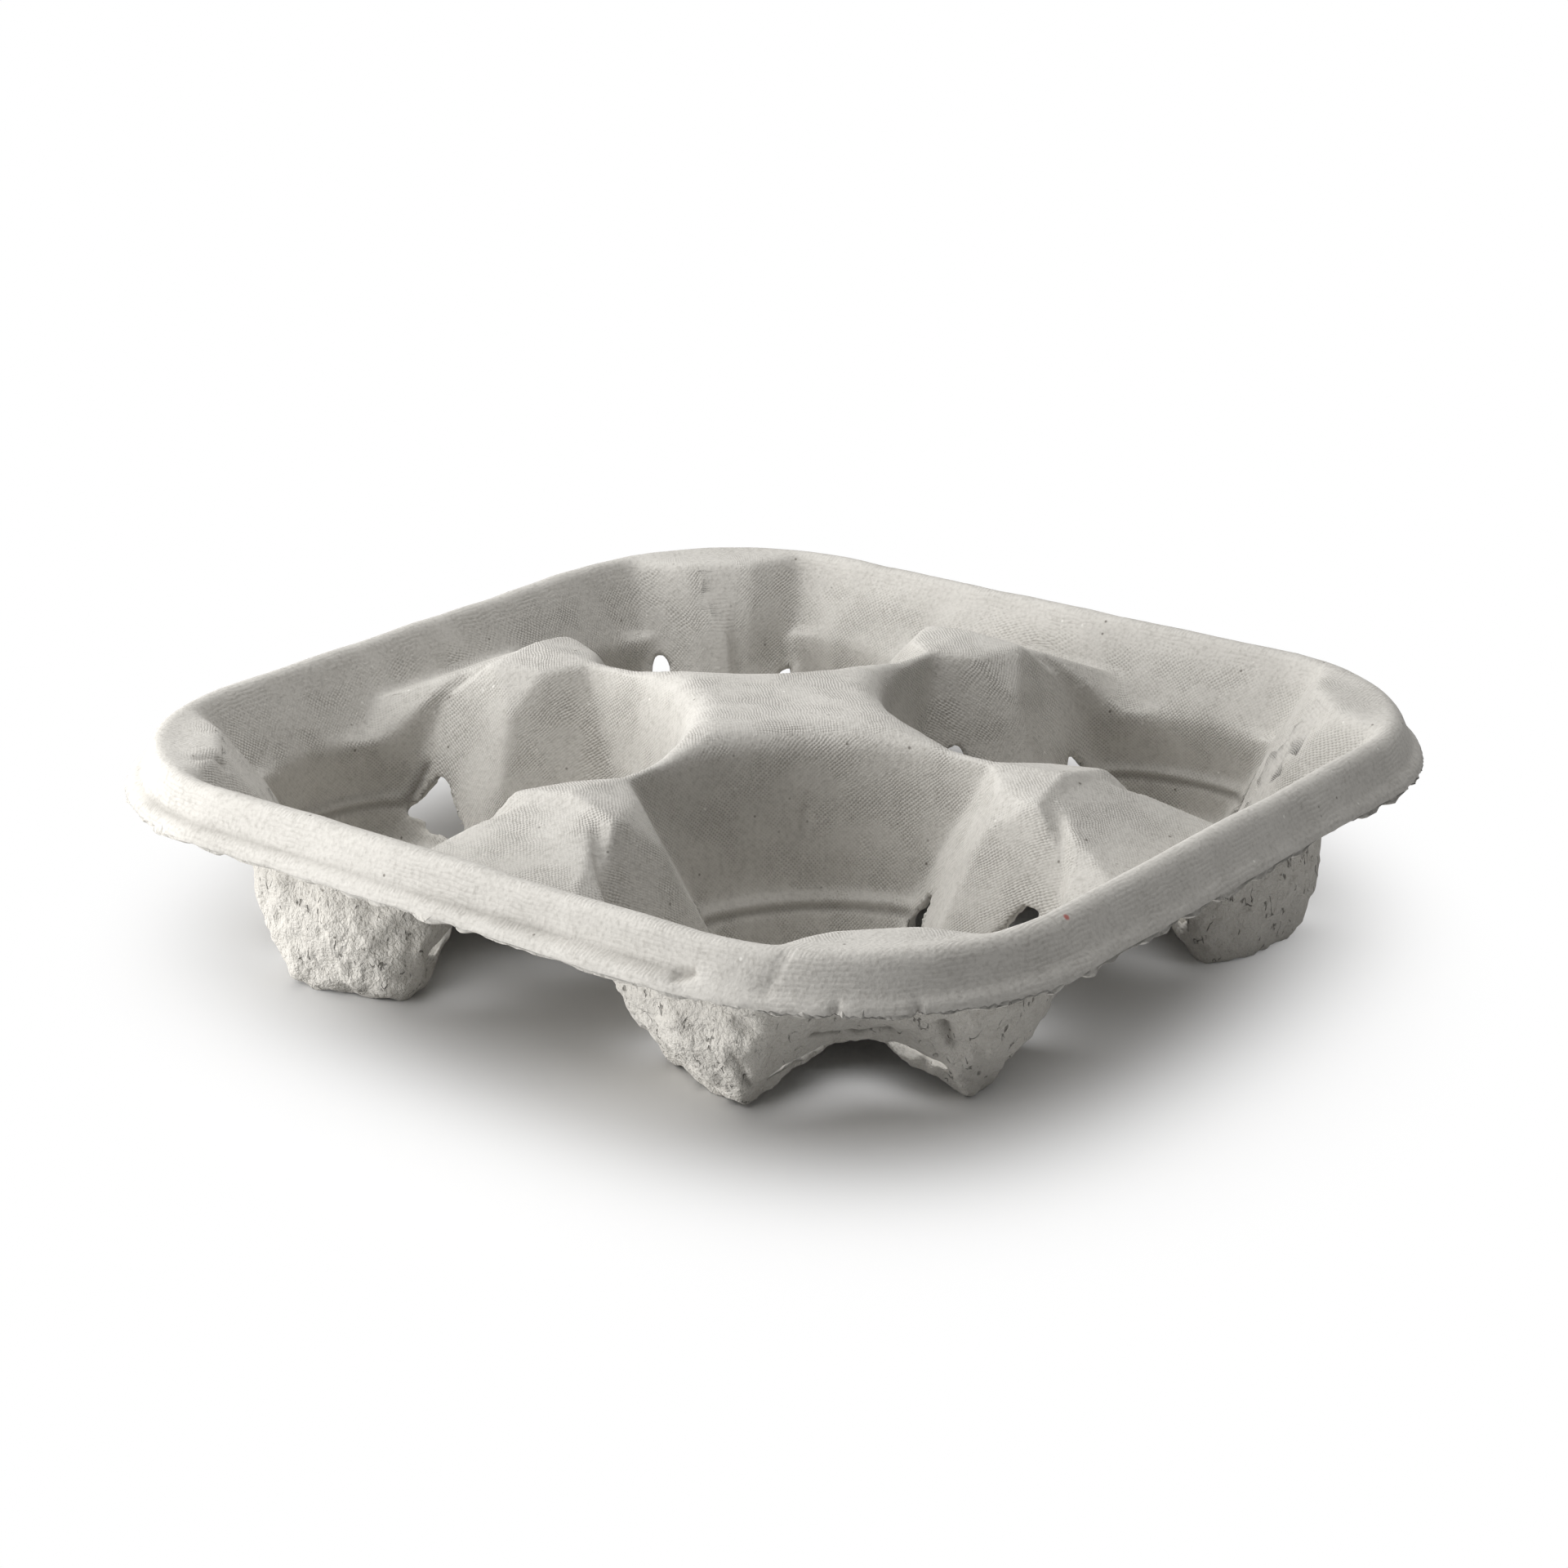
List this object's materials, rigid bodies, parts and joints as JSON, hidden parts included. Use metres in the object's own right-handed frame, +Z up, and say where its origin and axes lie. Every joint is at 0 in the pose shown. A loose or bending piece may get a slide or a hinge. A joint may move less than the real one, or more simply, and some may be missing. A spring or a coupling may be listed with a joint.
{
  "type": "cup carrier",
  "caption": "Square moulded-pulp carrier tray with lobed cup pockets, inward gripping fins, a raised hub and a turned-down rim, for carrying take-away drinks.",
  "frame": {"origin": "on the table under the middle of the tray", "axes": "+Z up, +X and +Y along the arms, square to the tray's sides"},
  "size_m": [0.214, 0.214, 0.045],
  "materials": {
    "pulp": "matt grey moulded pulp with a fine mesh imprint on the upper side"
  },
  "bodies": {
    "root": {"tray": "pulp"}
  },
  "joints": []
}
